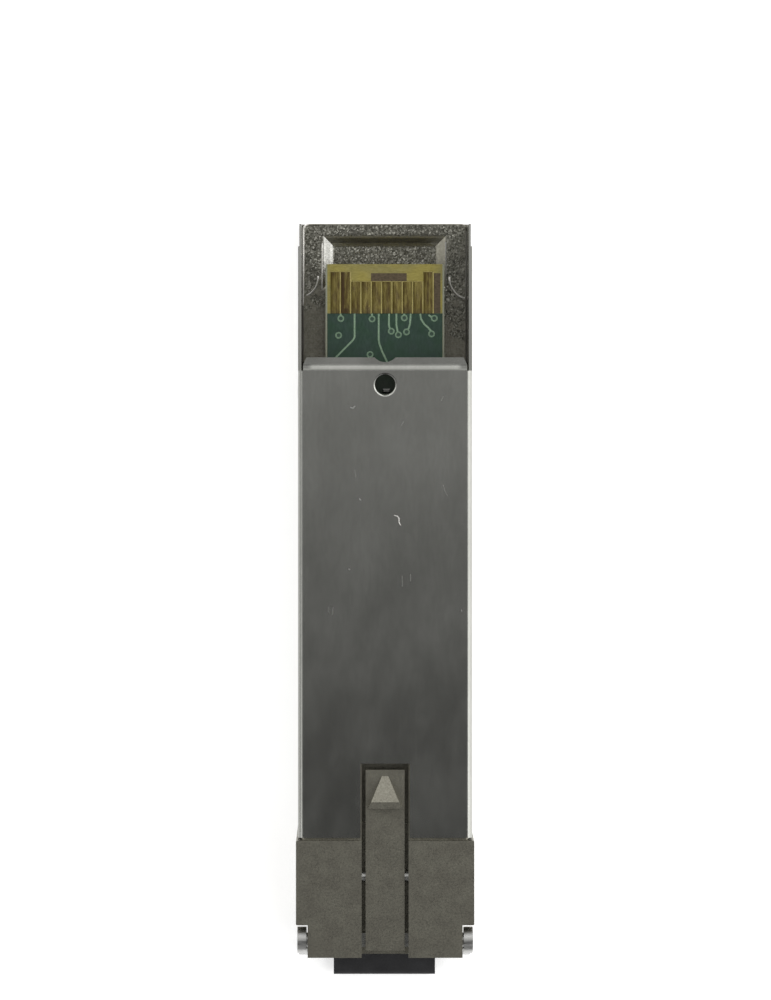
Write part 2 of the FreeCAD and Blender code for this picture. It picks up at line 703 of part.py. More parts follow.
def make_clamp():
    """Plate behind the barrel flanges that keeps both against their seats."""
    body = new_body("optics_clamp")
    block(body, "Additive", "clamp_plate", both(f"{INNER} - clamp_side_gap"),
          (NECK, f"{NECK} + clamp_thick"), ("roof", f"{PORT_AXIS} + clamp_over"))
    for hand in ("-", ""):
        axis = f"({hand}{PORT_X})"
        rod(body, "Subtractive", "neck_hole", ALONG_Y, (axis, NECK, PORT_AXIS),
            "neck_radius + clamp_gap", "clamp_thick")
        block(body, "Subtractive", "neck_slot",
              (f"{axis} - neck_radius - clamp_gap / 2", f"{axis} + neck_radius + clamp_gap / 2"),
              (NECK, f"{NECK} + clamp_thick"), ("roof", PORT_AXIS))
    return body


# Latch and bail

def make_rocker():
    """Lever with the boss that catches the cage; its tongue rides on the bail shaft."""
    body = new_body("latch_rocker")
    hub_low = f"({PIN_Z} - rocker_hub)"
    side = outline(body, "rocker_side", "YZ_Plane", [
        (f"{SHAFT_Y} - tongue_front", ROCKER_UNDER), ("-pin_ahead - rocker_hub", ROCKER_UNDER),
        ("-pin_ahead - rocker_hub", hub_low), ("-pin_ahead + rocker_hub", hub_low),
        ("-pin_ahead + rocker_hub", ROCKER_UNDER), ("rocker_tail", ROCKER_UNDER),
        ("rocker_tail", ROCKER_TOP), (f"{SHAFT_Y} - tongue_front", ROCKER_TOP)])
    pad(body, side, "rocker_width", True)
    boss = outline(body, "boss_plan", "XY_Plane", [
        ("-boss_width / 2", "0"), ("boss_width / 2", "0"), ("boss_flat / 2", "boss_length"),
        ("-boss_flat / 2", "boss_length")], ROCKER_UNDER)
    pad(body, boss, f"body_height + boss_height - {ROCKER_UNDER}")
    ramp = outline(body, "boss_ramp", "YZ_Plane", [
        ("boss_flat", "body_height + boss_height"), ("boss_length", ROCKER_TOP),
        ("boss_length", "body_height + boss_height")])
    pocket(body, ramp, "boss_width", True)
    rod(body, "Subtractive", "pin_bore", ALONG_X, ("-rocker_width / 2", "-pin_ahead", PIN_Z),
        "pin_radius + pin_gap", "rocker_width")
    return body


def make_rocker_pin():
    made = round_bar("rocker_pin", ALONG_X,
                     ("-rocker_width / 2 - rocker_side_gap - pin_seat", "-pin_ahead", PIN_Z),
                     "pin_radius", "rocker_width + 2 * (rocker_side_gap + pin_seat)")
    made.Label = "rocker_pin"
    return made


def make_latch_spring():
    body = new_body("latch_spring")
    foot = "(-well_front + spring_end_gap)"
    knee = "(boss_flat / 2)"
    side = outline(body, "leaf", "YZ_Plane", [
        (foot, WELL_FLOOR), (knee, WELL_FLOOR), ("boss_length", f"{ROCKER_UNDER} - spring_thick"),
        ("boss_length", ROCKER_UNDER), (knee, f"{WELL_FLOOR} + spring_thick"),
        (foot, f"{WELL_FLOOR} + spring_thick")])
    pad(body, side, "spring_width", True)
    return body


def make_bail():
    """Loop that is pulled forward to let go of the cage."""
    body = new_body("bail")
    outer = f"({NOSE_HALF} - arm_recess + bail_side_gap + bail_thick)"
    inner = f"({NOSE_HALF} - arm_recess + bail_side_gap)"
    rod(body, "Additive", "bar", ALONG_X, (f"-{outer}", BAR_Y, "bar_rise"), "bar_radius",
        f"2 * {outer}")
    for name, low in (("left", f"-{outer}"), ("right", inner)):
        arm = outline(body, f"{name}_arm", "YZ_Plane", [
            (f"{BAR_Y} - bar_radius", "bar_rise"), (f"{BAR_Y} + bar_radius", "bar_rise"),
            (f"{SHAFT_Y} + arm_width / 2", SHAFT_Z), (f"{SHAFT_Y} - arm_width / 2", SHAFT_Z)], low)
        pad(body, arm, "bail_thick")
        rod(body, "Additive", f"{name}_eye", ALONG_X, (low, SHAFT_Y, SHAFT_Z),
            "eye_radius", "bail_thick")
    rod(body, "Subtractive", "eye_hole", ALONG_X, (f"-{outer}", SHAFT_Y, SHAFT_Z),
        "shaft_radius", f"2 * {outer}")
    return body


def make_bail_shaft():
    """Shaft of the bail with the flat that lets the rocker drop."""
    body = new_body("bail_shaft")
    outer = f"({NOSE_HALF} - arm_recess + bail_side_gap + bail_thick)"
    rod(body, "Additive", "shaft", ALONG_X, (f"-{outer}", SHAFT_Y, SHAFT_Z),
        "shaft_radius", f"2 * {outer}")
    block(body, "Subtractive", "cam_cut", both("rocker_width / 2 + rocker_side_gap"),
          (f"{SHAFT_Y} - shaft_radius", f"{SHAFT_Y} + shaft_radius"),
          (f"{SHAFT_Z} + cam_flat", f"{SHAFT_Z} + shaft_radius"))
    return body


def make_bail_grip():
    body = new_body("bail_grip")
    block(body, "Additive", "grip_plate", both("grip_width / 2"),
          (f"{BAR_Y} - grip_run", f"{BAR_Y} + grip_thick / 2"),
          ("bar_rise - grip_thick / 2", "bar_rise + grip_thick / 2"))
    front = size(f"{BAR_Y} - grip_run")
    dress(body, "Fillet", "grip_edges", "grip_round",
          lambda box: near(box.YMin, front) and near(box.YLength, 0) and near(box.ZLength, 0))
    rod(body, "Subtractive", "bar_hole", ALONG_X, ("-grip_width / 2", BAR_Y, "bar_rise"),
        "bar_radius", "grip_width")
    return body


FINGER_COUNT = 10
BELLY_LONG = (0, 1, 9)
ROOF_LONG = (0, 3, 6, 9)

pieces = [
    make_housing(),
    make_shell(),
    make_board(),
    make_fingers("belly_contacts", "-finger_shift", (BOARD_TOP, f"{BOARD_TOP} + finger_thick"), BELLY_LONG),
    make_fingers("roof_contacts", "finger_shift", (f"{BOARD_UNDER} - finger_thick", BOARD_UNDER),
                 ROOF_LONG),
    make_chip("driver_chip", "driver_size", f"-({BOARD_HALF} - chip_edge_gap - driver_size / 2)",
              "chip_ahead"),
    make_chip("amplifier_chip", "amplifier_size", f"({BOARD_HALF} - chip_edge_gap - amplifier_size / 2)",
              "chip_ahead"),
    make_chip("memory_chip", "memory_size", "0", "memory_ahead"),
    make_passives("capacitors", f"(part_edge_gap - {BOARD_HALF})", "capacitor_ahead", 6, 2),
    make_passives("resistors", f"(part_edge_gap - {BOARD_HALF})", "resistor_ahead", 6, 1),
]
for name, hand in (("transmitter", "-"), ("receiver", "")):
    pieces.append(make_barrel(name + "_barrel", hand))
    pieces.append(make_sleeve(name + "_sleeve", hand))
    pieces.append(make_can(name + "_can", hand))
    pieces.append(make_leads(name + "_leads", hand))
    pieces.append(make_flex(name + "_flex", hand))
pieces += [
    make_clamp(),
    make_rocker(),
    make_rocker_pin(),
    make_latch_spring(),
    make_bail(),
    make_bail_shaft(),
    make_bail_grip(),
]
doc.recompute()

for item in doc.Objects:
    if "Invalid" in item.State or "Error" in item.State:
        raise RuntimeError(f"{item.Name} did not build: {item.State}")
os.makedirs("parts", exist_ok=True)
for piece in pieces:
    if piece.Shape.isNull() or not piece.Shape.isValid():
        raise RuntimeError(f"{piece.Label} has no sound shape")
    piece.Shape.exportStep(f"parts/{piece.Label}.step")
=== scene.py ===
import math

import bmesh
import bpy
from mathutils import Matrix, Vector


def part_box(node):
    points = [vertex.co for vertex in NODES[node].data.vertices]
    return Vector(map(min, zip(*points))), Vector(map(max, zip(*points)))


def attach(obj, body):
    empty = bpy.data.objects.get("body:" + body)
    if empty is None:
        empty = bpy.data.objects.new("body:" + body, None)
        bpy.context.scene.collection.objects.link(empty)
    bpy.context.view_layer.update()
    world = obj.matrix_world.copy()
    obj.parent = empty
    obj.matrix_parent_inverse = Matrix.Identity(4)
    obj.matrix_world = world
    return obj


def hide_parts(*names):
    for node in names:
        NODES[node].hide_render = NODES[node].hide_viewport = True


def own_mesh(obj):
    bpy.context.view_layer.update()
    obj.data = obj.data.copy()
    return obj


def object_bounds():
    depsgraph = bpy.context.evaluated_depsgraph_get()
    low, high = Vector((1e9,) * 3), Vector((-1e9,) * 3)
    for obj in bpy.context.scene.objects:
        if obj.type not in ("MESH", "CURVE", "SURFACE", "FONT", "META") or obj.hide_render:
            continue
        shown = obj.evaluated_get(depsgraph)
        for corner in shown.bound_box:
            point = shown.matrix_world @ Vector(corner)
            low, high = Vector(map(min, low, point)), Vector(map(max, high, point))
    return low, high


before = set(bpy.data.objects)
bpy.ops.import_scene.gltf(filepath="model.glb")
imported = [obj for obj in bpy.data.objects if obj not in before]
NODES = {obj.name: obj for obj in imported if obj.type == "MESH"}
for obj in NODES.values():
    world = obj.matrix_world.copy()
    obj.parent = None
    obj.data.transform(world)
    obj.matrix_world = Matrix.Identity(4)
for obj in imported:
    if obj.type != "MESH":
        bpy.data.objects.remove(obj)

CAD_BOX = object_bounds()

# Places and sizes are in millimetres: X across, +Y to the rear end, +Z from roof to belly
MM = 0.001
REAR_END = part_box("housing")[1][1] / MM

# Circuit board: distances along the card run forward from its rear end
CARD_LOW, CARD_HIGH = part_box("circuit_board")
CARD_END = CARD_HIGH[1] / MM
CARD_FACE = CARD_HIGH[2] / MM
CARD_UNDER = CARD_LOW[2] / MM
CARD_HALF = 4.6
ROUTED_MARGIN = 0.14
ROUTED_SOFT = 0.02
MASK_RUN = 8.55
MASK_EDGE = 3.82
MASK_LINE = CARD_END - MASK_EDGE
MASK_SOFT = 0.01
MASK_THICK = 0.02
MASK_BREAK = 0.012
MASK_FACE = CARD_FACE + MASK_THICK

# Via rings and traces under the mask: across, then forward of the card's end
VIAS = (
    (-3.42, 4.22), (-3.59, 5.52), (-1.00, 4.25), (-1.15, 7.01), (0.49, 5.20),
    (1.04, 5.48), (1.50, 4.17), (1.67, 5.26), (3.82, 4.20), (3.61, 5.41),
)
TRACES = (
    ((-2.35, 3.84), (-2.35, 5.66), (-2.48, 5.90), (-3.72, 7.15), (-4.35, 7.78)),
    ((-0.48, 3.84), (-0.48, 5.84), (-0.42, 6.20), (-0.22, 6.75), (0.13, 7.49), (0.42, 8.10)),
    ((0.32, 3.84), (0.31, 4.70), (0.35, 4.90), (0.49, 5.20)),
    ((0.89, 3.84), (0.89, 4.72), (0.96, 5.10), (1.04, 5.48)),
    ((2.00, 3.84), (1.95, 4.60), (1.85, 4.95), (1.67, 5.26)),
    ((2.74, 3.84), (2.80, 4.25), (3.05, 4.65), (3.38, 4.95), (3.55, 5.15), (3.61, 5.41)),
    ((3.38, 3.94), (3.60, 4.10), (3.82, 4.20)),
    ((-3.42, 3.84), (-3.42, 4.22)),
    ((-1.00, 3.84), (-1.00, 4.25)),
    ((1.50, 3.84), (1.50, 4.17)),
)
TRACE_WIDTH = 0.165
TRACE_PROUD = 0.014
TRACE_SLOPE = 0.6
RING_RADIUS = 0.27
RING_OVERLAP = 0.06
RING_TURNS = 24
# Radius of the ring and height over the mask, from the outside to the plug in the middle
RING_PROFILE = ((0.265, 0.010), (0.245, 0.018), (0.17, 0.018), (0.15, 0.008), (0.05, 0.002))

# Copper that shows through the bare laminate: across, then forward of the card's end
COPPER_AREAS = (((-1.07, 1.69), (0.70, 1.37)), ((3.80, 4.30), (0.70, 3.81)))
COPPER_PROUD = 0.006
COPPER_BREAK = 0.003

# Gold fingers, with a raised strip of painted highlight along the inner end and the right side of each
FINGERS = 10
FINGER_PITCH = 0.8
FINGER_WIDTH = 0.68
FINGER_SHIFT = -0.26
FIRST_LEFT = FINGER_SHIFT - (FINGERS - 1) / 2 * FINGER_PITCH - FINGER_WIDTH / 2
LONG_FINGERS = (0, 1, 9)
LONG_INSET = 0.63
SHORT_INSET = 1.38
SIDE_EDGE = 0.12
SIDE_EDGE_PROUD = 0.05
SIDE_EDGE_PAST = 0.04
END_EDGE = 0.06
END_EDGE_PROUD = 0.045
END_EDGE_PAST = 0.035

# Belly plate with its hole and the bend of its lip
PLATE_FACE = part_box("shell")[1][2] / MM
SHELL_HALF = 6.7
HOLE_CENTRE = (0.0, REAR_END - 12.5)
HOLE_RADIUS = 0.74
HOLE_ROLL = 0.18
ROLL_STEPS = 8
ROLL_TURNS = 72
# Hidden back of the roll, outward and down, as shares of its size
ROLL_BACK = (0.45, 0.60)
# The lip's bend, and where painted shade darkens the sheet: near the bend's ends at the sides, on the left
# bend, and on the rear side of the hole's edge
LIP_BEND = (REAR_END - 11.22, REAR_END - 10.98)
LIP_SIDES = (SHELL_HALF - 1.2, SHELL_HALF - 0.7)
LEFT_BEND = (0.08 - SHELL_HALF, 0.24 - SHELL_HALF)
HOLE_SHADE_HALF = 1.1
HOLE_SHADE_RUN = (HOLE_CENTRE[1] + 0.25, HOLE_CENTRE[1] + 1.0)

# Soldered end of a small part that shows through the hole
SOLDERED_X = (-0.18, 0.42)
SOLDERED_Y = (HOLE_CENTRE[1] - 0.67, HOLE_CENTRE[1] - 0.35)
SOLDERED_TALL = 0.16
SOLDERED_BREAK = 0.08

# Rear frame of the housing and its shallow pocket
FRAME_FACE = CARD_UNDER - 2.0
FRAME_SIDE = 6.385
FRAME_FRONT = REAR_END - 10.8
FRAME_REAR = REAR_END - 0.05
SKIN_START = (REAR_END - 6.4, REAR_END - 4.8)
POCKET_HALF = 4.95
POCKET_FRONT = REAR_END - 5.8
POCKET_REAR = REAR_END - 0.8
POCKET_UNDER = (FRAME_FACE - 0.75, FRAME_FACE - 0.55)

# Flash and worn edges on the frame
WORN_SIDE = 6.36
WORN_FRONT = REAR_END - 6.4
WORN_WIDTH = 0.16
WORN_PROUD = 0.06
WORN_SUNK = 0.02
CORNER = 0.42
CORNER_STEPS = 8
FLASH_FOOT = 0.08
FLASH_SLOPE = 0.25
LEFT_FLASH_WIDTH = 0.11
LEFT_FLASH_PROUD = 0.02
RIGHT_FLASH_WIDTH = 0.10
RIGHT_FLASH_REAR = REAR_END - 0.6
RIM_FRONT = REAR_END - 5.3
RIM_REAR = REAR_END - 1.25
# Beads on the rims of the pocket: across, width, height over the frame
LEFT_RIM = (-4.90, 0.12, 0.04)
RIGHT_RIM = (4.80, 0.10, 0.03)
# Beads round the ejector marks: centre, radius, first and last angle, width, height over the frame
EJECTOR_BEADS = (
    ((-6.80, REAR_END - 4.2), 1.58, (4.0, -64.0), 0.14, 0.07),
    ((6.70, REAR_END - 4.3), 1.61, (175.0, 255.0), 0.20, 0.10),
)
# A bead's foot lies under the face, and its height fades over the last quarter at each end
BEAD_FOOT = 0.01
BEAD_SIDES = 7
BEAD_FADE = 4
BEAD_LEAST = 0.12

# Marks on the belly plate: a burr that glints, small flecks, and faint hairlines
BURR = ((0.69, 22.47), (0.95, 22.40), (1.07, 22.20), (1.06, 21.95), (1.20, 21.70))
FLECKS = (
    ((-2.67, 30.77), (-2.46, 30.70), (-2.30, 30.88)),
    ((-2.00, 23.77), (-1.86, 23.63)),
    ((-2.80, 18.36), (-2.68, 18.30)),
    ((5.86, 15.22), (5.90, 15.08)),
)
HAIRLINES = (
    ((1.25, 29.37), (1.42, 29.69)),
    ((4.31, 31.26), (4.46, 31.62)),
    ((4.46, 24.81), (4.60, 24.31), (4.81, 23.96)),
    ((1.32, 17.83), (1.32, 17.00)),
    ((1.96, 17.97), (1.96, 17.40)),
    ((-4.31, 15.47), (-4.35, 14.98)),
    ((-4.00, 15.40), (-4.06, 14.83)),
    ((-2.31, 25.96), (-2.26, 25.38)),
)
BURR_WIDTH = 0.07
BURR_PROUD = 0.018
FLECK_WIDTH = 0.06
HAIRLINE_WIDTH = 0.04
MARK_PROUD = 0.004

# Leaf spring under the latch
SPRING_LOW, SPRING_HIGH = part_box("latch_spring")
SPRING_THICK = 0.15
SPRING_KNEE = 0.25
SPRING_BEND = 0.5
SPRING_BREAK = 0.03
SPRING_STEPS = 32

# Floor, lamps and camera
FLOOR_HALF = 2000.0
LIT_CENTRE = Vector((0.0, 17.0, 6.0))
LAMP_ASIDE = 300.0
LAMP_HEIGHT = 280.0
LAMP_WIDTH = 480.0
LAMP_DEPTH = 400.0
# Name, side, end and power of each lamp
SOFTBOXES = (
    ("rear_right_softbox", 1, 1, 1.00),
    ("rear_left_softbox", -1, 1, 0.62),
    ("front_right_softbox", 1, -1, 0.55),
    ("front_left_softbox", -1, -1, 0.50),
)
SKY_WARMTH = 0.985
IMAGE_HEIGHT = 1000
PIXELS_PER_MM = 13.02
SENSOR = 36.0
STAND_OFF = 260.0
EYE = Vector((-2.0, 38.0, PLATE_FACE + STAND_OFF))
PICTURE_CENTRE = (0.03, 23.65)
CLIP_NEAR = 10.0
CLIP_FAR = 10000.0


# Shader nodes

# Sockets of the Mix node that take and give colours
MIX_SHARE = 0
MIX_FIRST = 6
MIX_SECOND = 7
MIX_RESULT = 2


class Nodes:
    """A node tree in the making: each method adds nodes and hands back their output."""

    def __init__(self, tree):
        self.tree = tree

    def add(self, kind, **settings):
        node = self.tree.nodes.new(kind)
        for name, value in settings.items():
            setattr(node, name, value)
        return node

    def feed(self, source, socket):
        """A number or a colour goes on the socket itself; an output is linked to it."""
        if isinstance(source, tuple):
            socket.default_value = (*source, 1.0)
        elif isinstance(source, float):
            socket.default_value = source
        else:
            self.tree.links.new(source, socket)

    def split(self, vector):
        node = self.add("ShaderNodeSeparateXYZ")
        self.feed(vector, node.inputs["Vector"])
        return node.outputs

    def maths(self, operation, first, second=0.0):
        node = self.add("ShaderNodeMath", operation=operation)
        self.feed(first, node.inputs[0])
        self.feed(second, node.inputs[1])
        return node.outputs["Value"]

    def plus(self, first, second):
        return self.maths("ADD", first, second)

    def less(self, first, second):
        return self.maths("SUBTRACT", first, second)

    def times(self, first, second):
        return self.maths("MULTIPLY", first, second)

    def most(self, first, second):
        return self.maths("MAXIMUM", first, second)

    def spread(self, source, low, high, to_low=0.0, to_high=1.0):
        """Low to high of the source becomes to_low to to_high, with soft ends."""
        node = self.add("ShaderNodeMapRange", interpolation_type="SMOOTHSTEP")
        self.feed(source, node.inputs["Value"])
        node.inputs["From Min"].default_value = low
        node.inputs["From Max"].default_value = high
        node.inputs["To Min"].default_value = to_low
        node.inputs["To Max"].default_value = to_high
        return node.outputs["Result"]

    def fall(self, source, low, high):
        """One below low, fading to nothing at high."""
        return self.spread(source, low, high, 1.0, 0.0)

    def within(self, source, low, high, soft):
        """One between low and high, fading to nothing over the soft margin."""
        return self.times(self.spread(source, low - soft, low), self.fall(source, high, high + soft))

    def ramp(self, source, *stops, interpolation="LINEAR"):
        node = self.add("ShaderNodeValToRGB")
        node.color_ramp.interpolation = interpolation
        row = node.color_ramp.elements
        while len(row) < len(stops):
            row.new(0.5)
        for element, (place, colour) in zip(row, stops):
            element.position = place
            element.color = (*colour, 1.0)
        self.feed(source, node.inputs["Fac"])
        return node.outputs["Color"]

    def mix(self, share, first, second, way="MIX"):
        node = self.add("ShaderNodeMix", data_type="RGBA", blend_type=way)
        self.feed(share, node.inputs[MIX_SHARE])
        self.feed(first, node.inputs[MIX_FIRST])
        self.feed(second, node.inputs[MIX_SECOND])
        return node.outputs[MIX_RESULT]

    def tint(self, first, second):
        return self.mix(1.0, first, second, "MULTIPLY")


class Finish(Nodes):
    """The nodes of one material, with places on the object counted in millimetres."""

    def __init__(self, name, values):
        self.material = bpy.data.materials.new(name)
        self.material.use_nodes = True
        super().__init__(self.material.node_tree)
        self.shader = self.tree.nodes["Principled BSDF"]
        for socket, value in values.items():
            self.shader.inputs[socket].default_value = value

    def places(self, per_mm=1.0, shift=(0.0, 0.0, 0.0)):
        """Places on the object, in units of 1 / per_mm millimetres, alike or different along the axes."""
        steps = per_mm if isinstance(per_mm, tuple) else (per_mm, per_mm, per_mm)
        node = self.add("ShaderNodeMapping")
        node.inputs["Scale"].default_value = [step / MM for step in steps]
        node.inputs["Location"].default_value = shift
        self.feed(self.add("ShaderNodeTexCoord").outputs["Object"], node.inputs["Vector"])
        return node.outputs["Vector"]

    def axis(self, name):
        return self.split(self.places())[name]

    def off_middle(self):
        return self.maths("ABSOLUTE", self.axis("X"))

    def normal(self):
        return self.add("ShaderNodeNewGeometry").outputs["Normal"]

    def noise(self, per_mm, detail, rough, shift=(0.0, 0.0, 0.0)):
        node = self.add("ShaderNodeTexNoise")
        node.inputs["Scale"].default_value = 1.0
        node.inputs["Detail"].default_value = detail
        node.inputs["Roughness"].default_value = rough
        self.feed(self.places(per_mm, shift), node.inputs["Vector"])
        return node.outputs["Fac"]

    def cells(self, per_mm):
        """A random colour for each grain."""
        node = self.add("ShaderNodeTexVoronoi")
        node.inputs["Scale"].default_value = 1.0
        self.feed(self.places(per_mm), node.inputs["Vector"])
        return node.outputs["Color"]

    def red_of(self, colour):
        node = self.add("ShaderNodeSeparateColor")
        self.feed(colour, node.inputs["Color"])
        return node.outputs["Red"]

    def relief(self, height, strength, depth, under=None):
        node = self.add("ShaderNodeBump")
        node.inputs["Strength"].default_value = strength
        node.inputs["Distance"].default_value = depth * MM
        self.feed(height, node.inputs["Height"])
        if under is not None:
            self.feed(under, node.inputs["Normal"])
        return node.outputs["Normal"]

    def facets(self, grain, amount):
        """Normals that lean a different way on each grain, so that a cast skin glitters."""
        lean = self.add("ShaderNodeVectorMath", operation="SUBTRACT")
        lean.inputs[1].default_value = (0.5, 0.5, 0.5)
        self.feed(grain, lean.inputs[0])
        sized = self.add("ShaderNodeVectorMath", operation="SCALE")
        self.feed(lean.outputs["Vector"], sized.inputs[0])
        self.feed(amount, sized.inputs["Scale"])
        total = self.add("ShaderNodeVectorMath", operation="ADD")
        self.feed(self.normal(), total.inputs[0])
        self.feed(sized.outputs["Vector"], total.inputs[1])
        unit = self.add("ShaderNodeVectorMath", operation="NORMALIZE")
        self.feed(total.outputs["Vector"], unit.inputs[0])
        return unit.outputs["Vector"]

    def done(self, colour, roughness, normal=None):
        self.feed(colour, self.shader.inputs["Base Color"])
        self.feed(roughness, self.shader.inputs["Roughness"])
        if normal is not None:
            self.feed(normal, self.shader.inputs["Normal"])
        return self.material


# Materials

def die_cast():
    """Dull zinc: a coarse glittering skin on the level rear faces, brighter where the pocket slopes:
    painted light, a painted highlight where the walls face right and a dimmer painted copy where they face
    away into shade.
    """
    zinc = Finish("die_cast_zinc", {"Metallic": 1.0})
    fine = zinc.noise(7.0, 4.0, 0.6)
    broad = zinc.noise(0.8, 2.0, 0.5)
    grain = zinc.cells(9.5)
    tilt = zinc.split(zinc.normal())

    # The coarse skin starts along a ragged line that lies further forward on the right
    ragged = zinc.spread(broad, 0.3, 0.7, -2.4, 2.4)
    further = zinc.spread(zinc.axis("X"), -2.0, 2.0, 0.0, 1.7)
    rear = zinc.spread(zinc.plus(zinc.axis("Y"), zinc.plus(ragged, further)), *SKIN_START)
    level = zinc.spread(tilt["Z"], 0.955, 0.995)
    rough_skin = zinc.times(rear, level)

    along_pocket = zinc.within(zinc.axis("Y"), POCKET_FRONT, POCKET_REAR, 0.2)
    across_pocket = zinc.within(zinc.axis("X"), -POCKET_HALF, POCKET_HALF, 0.1)
    in_plan = zinc.times(along_pocket, across_pocket)
    in_pocket = zinc.times(in_plan, zinc.spread(zinc.axis("Z"), *POCKET_UNDER))
    sloping = zinc.times(in_pocket, zinc.fall(level, 0.0, 1.0))
    # Painted light on the pocket's sloping walls: those that face right get a painted highlight
    lit_from_right = zinc.spread(tilt["X"], 0.02, 0.20)

    coarse = zinc.ramp(zinc.red_of(grain), (0.0, (0.130, 0.127, 0.106)),
                       (0.70, (0.225, 0.221, 0.192)), (1.0, (0.46, 0.453, 0.406)))
    smooth = zinc.ramp(fine, (0.30, (0.225, 0.215, 0.180)), (0.72, (0.325, 0.315, 0.270)))
    # shaded and bright are painted shade and painted highlight: lit and shaded copies of the zinc for the
    # pocket's sloping walls
    shaded = zinc.ramp(fine, (0.30, (0.340, 0.329, 0.280)), (0.72, (0.450, 0.436, 0.378)))
    bright = zinc.ramp(fine, (0.30, (0.46, 0.457, 0.440)), (0.72, (0.54, 0.537, 0.515)))
    flow = zinc.ramp(broad, (0.35, (0.88, 0.87, 0.86)), (0.65, (1.02, 1.02, 1.00)))
    plain = zinc.mix(sloping, smooth, zinc.mix(lit_from_right, shaded, bright))
    colour = zinc.tint(zinc.mix(rough_skin, plain, coarse), flow)

    polish = zinc.spread(fine, 0.25, 0.75, 0.48, 0.32)
    rubbed = zinc.times(sloping, zinc.spread(lit_from_right, 0.0, 1.0, 0.0, 0.10))
    facets = zinc.facets(grain, zinc.spread(rough_skin, 0.0, 1.0, 0.05, 0.26))
    return zinc.done(colour, zinc.less(polish, rubbed), zinc.relief(fine, 0.3, 0.015, facets))


def sheet_steel():
    """Rolled sheet: streaked lengthwise, bright where sheared, darkened with painted shade at the ends of
    the lip's bend, on the left bend and on the rear side of the hole's edge.
    """
    sheet = Finish("rolled_steel_sheet", {"Metallic": 1.0})
    streaks = sheet.noise((5.0, 1.5, 5.0), 3.0, 0.6)
    hairs = sheet.noise((24.0, 0.4, 24.0), 2.0, 0.5)
    blotch = sheet.noise((0.30, 0.16, 0.30), 3.0, 0.55)
    x = sheet.axis("X")
    y = sheet.axis("Y")
    z = sheet.axis("Z")
    level = sheet.split(sheet.normal())["Z"]

    # Painted shade: the lip's bend near the sides, the left bend, and the sloping edge on the rear side of
    # the hole
    near_sides = sheet.spread(sheet.off_middle(), *LIP_SIDES)
    lip_end_shade = sheet.times(sheet.within(y, *LIP_BEND, 0.1), near_sides)
    near_belly = sheet.spread(z, PLATE_FACE - 0.8, PLATE_FACE - 0.6)
    left_bend_shade = sheet.times(sheet.fall(x, *LEFT_BEND), near_belly)
    behind_hole = sheet.within(y, *HOLE_SHADE_RUN, 0.35)
    by_hole = sheet.times(sheet.within(x, -HOLE_SHADE_HALF, HOLE_SHADE_HALF, 0.05), behind_hole)
    hole_shade = sheet.times(by_hole, sheet.fall(level, 0.93, 0.99))
    shade_on_bends = sheet.most(sheet.times(lip_end_shade, 0.5), sheet.times(left_bend_shade, 0.32))
    painted_shade = sheet.most(shade_on_bends, sheet.times(hole_shade, 0.6))
    below_plate = sheet.fall(z, PLATE_FACE - 0.4, PLATE_FACE - 0.3)
    sheared = sheet.times(below_plate, sheet.spread(level, 0.90, 0.99))

    tone = sheet.ramp(blotch, (0.30, (0.400, 0.402, 0.376)), (0.72, (0.450, 0.452, 0.426)))
    lines = sheet.ramp(streaks, (0.34, (0.96, 0.96, 0.96)), (0.66, (1.02, 1.02, 1.02)))
    # The painted shade mixes the sheet's colour towards black
    rolled = sheet.mix(painted_shade, sheet.tint(tone, lines), (0.0, 0.0, 0.0))
    colour = sheet.mix(sheared, rolled, (0.64, 0.64, 0.60))
    roughness = sheet.spread(blotch, 0.25, 0.75, 0.19, 0.24)
    return sheet.done(colour, roughness, sheet.relief(hairs, 0.04, 0.003))


def board_laminate():
    """Glass and epoxy: bare and yellow at the card edge, dark under the mask, pale where routed."""
    board = Finish("glass_epoxy_board", {"Specular IOR Level": 0.45})
    weave = board.noise((3.2, 9.0, 3.0), 3.0, 0.6)
    cloth = board.noise((12.0, 3.0, 3.0), 2.0, 0.5)
    clouds = board.noise((0.45, 0.6, 0.5), 2.0, 0.5)

    routed_from = CARD_HALF - ROUTED_MARGIN
    routed = board.spread(board.off_middle(), routed_from - ROUTED_SOFT, routed_from + ROUTED_SOFT)
    under = board.fall(board.axis("Y"), MASK_LINE - MASK_SOFT, MASK_LINE + MASK_SOFT)
    covered = board.times(under, board.less(1.0, routed))

    resin = board.ramp(weave, (0.30, (0.200, 0.172, 0.044)), (0.72, (0.280, 0.243, 0.070)))
    haze = board.ramp(clouds, (0.38, (0.88, 0.90, 1.10)), (0.62, (1.08, 1.06, 0.92)))
    dark = board.ramp(cloth, (0.30, (0.036, 0.052, 0.035)), (0.72, (0.052, 0.072, 0.049)))
    bare = board.mix(routed, board.tint(resin, haze), (0.230, 0.240, 0.180))
    colour = board.mix(covered, bare, dark)
    roughness = board.spread(weave, 0.25, 0.75, 0.32, 0.48)
    return board.done(colour, roughness, board.relief(weave, 0.25, 0.006))


def solder_mask():
    gloss = {"Specular IOR Level": 0.5, "Coat Weight": 0.25, "Coat Roughness": 0.2}
    mask = Finish("green_solder_mask", gloss)
    cloth = mask.noise((7.0, 2.2, 3.0), 4.0, 0.6)
    broad = mask.noise(0.9, 2.0, 0.5)
    tone = mask.ramp(cloth, (0.30, (0.011, 0.033, 0.020)), (0.72, (0.022, 0.050, 0.034)))
    patch = mask.ramp(broad, (0.35, (0.72, 1.02, 0.78)), (0.65, (1.05, 1.0, 1.12)))
    roughness = mask.spread(cloth, 0.25, 0.75, 0.28, 0.42)
    return mask.done(mask.tint(tone, patch), roughness, mask.relief(cloth, 0.2, 0.006))


